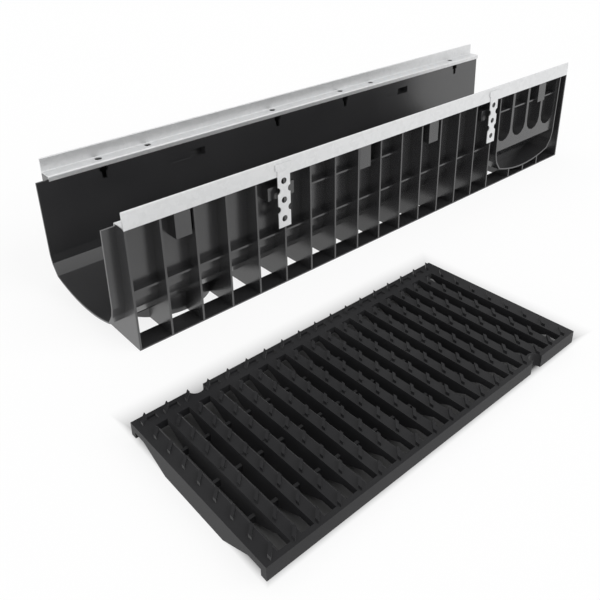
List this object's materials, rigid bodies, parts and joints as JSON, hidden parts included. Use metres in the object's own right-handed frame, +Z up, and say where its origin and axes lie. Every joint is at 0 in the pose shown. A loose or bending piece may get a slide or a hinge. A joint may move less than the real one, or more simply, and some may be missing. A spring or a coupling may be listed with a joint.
{
  "type": "drainage channel",
  "caption": "Ribbed plastic drainage channel with folded steel edge rails and anchor straps, its studded half-length grating laid beside it.",
  "frame": {"origin": "middle of the channel's base, midway between the rail ends and between the rails' outer faces", "axes": "+X along the channel from its spigot end to its socket end, +Z up, -Y towards the grating that lies beside it"},
  "size_m": [1.086, 0.6155, 0.2],
  "materials": {
    "channel_plastic": "black moulded plastic, satin",
    "galvanised_steel": "galvanised, matt light grey",
    "grating_plastic": "black moulded plastic, matt"
  },
  "bodies": {
    "root": {"channel_body": "channel_plastic", "front_edge_rail": "galvanised_steel", "rear_edge_rail": "galvanised_steel", "front_anchor_strap_spigot_end": "galvanised_steel", "front_anchor_strap_socket_end": "galvanised_steel", "rear_anchor_strap_spigot_end": "galvanised_steel", "rear_anchor_strap_socket_end": "galvanised_steel", "grating": "grating_plastic"}
  },
  "joints": []
}
